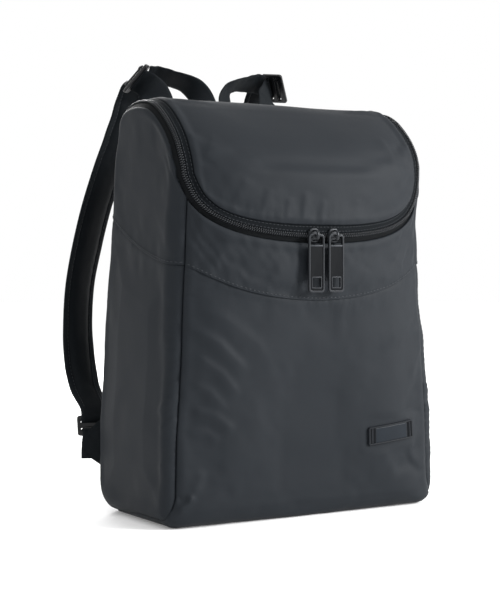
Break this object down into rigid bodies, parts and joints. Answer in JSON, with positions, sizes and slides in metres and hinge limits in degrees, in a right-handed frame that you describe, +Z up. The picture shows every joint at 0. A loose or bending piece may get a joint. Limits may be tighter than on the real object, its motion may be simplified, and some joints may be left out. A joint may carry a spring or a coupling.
{
  "type": "anti theft backpack",
  "caption": "Soft compact city daypack with a lid closed by one long curved zip, padded back, shoulder straps and a blank label plate.",
  "frame": {"origin": "on the base panel's outer face, in the middle plane, where the bag stands", "axes": "+Z up, the front with the label faces -Y, the straps are at +Y, +X is the bag's left as worn and the viewer's right when its front is looked at"},
  "size_m": [0.3114, 0.2746, 0.427],
  "materials": {
    "shell": "matt coated fabric, charcoal grey",
    "back": "matt padded mesh, dark grey",
    "webbing": "matt woven webbing, near black",
    "tape": "matt zip tape, dark grey",
    "chain": "satin coil teeth, dark grey",
    "pull": "satin gunmetal grey",
    "plastic": "fine matt, black",
    "label": "satin, dark blue-grey"
  },
  "bodies": {
    "bag": {"lid_panel": "shell", "front_yoke": "shell", "front_panel": "shell", "base_panel": "shell", "back_panel": "back", "gusset_lower_right": "shell", "gusset_lower_left": "shell", "gusset_upper_right": "shell", "gusset_upper_left": "shell", "zip_tape_lid": "tape", "zip_chain": "chain", "zip_tape_body": "tape", "top_web_left": "webbing", "shoulder_strap_left": "webbing", "riser_band_left": "webbing", "lower_web_left": "webbing", "top_slider_left": "plastic", "lower_buckle_left": "plastic", "anchor_tab_left": "webbing", "top_web_right": "webbing", "shoulder_strap_right": "webbing", "riser_band_right": "webbing", "lower_web_right": "webbing", "top_slider_right": "plastic", "lower_buckle_right": "plastic", "anchor_tab_right": "webbing", "slider_left": "pull", "slider_right": "pull", "label_plate": "label"},
    "pull_left": {"pull_left": "pull"},
    "pull_right": {"pull_right": "pull"}
  },
  "joints": [
    {"name": "pull_left_swing", "type": "hinge", "parent": "bag", "child": "pull_left", "pos_m": [-0.01111, -0.10073, 0.25509], "axis": [-0.9998, 0.0192, 0], "range_deg": [0, 165]},
    {"name": "pull_right_swing", "type": "hinge", "parent": "bag", "child": "pull_right", "pos_m": [0.0102, -0.10075, 0.25509], "axis": [-0.9999, -0.0169, 0], "range_deg": [0, 165]}
  ]
}
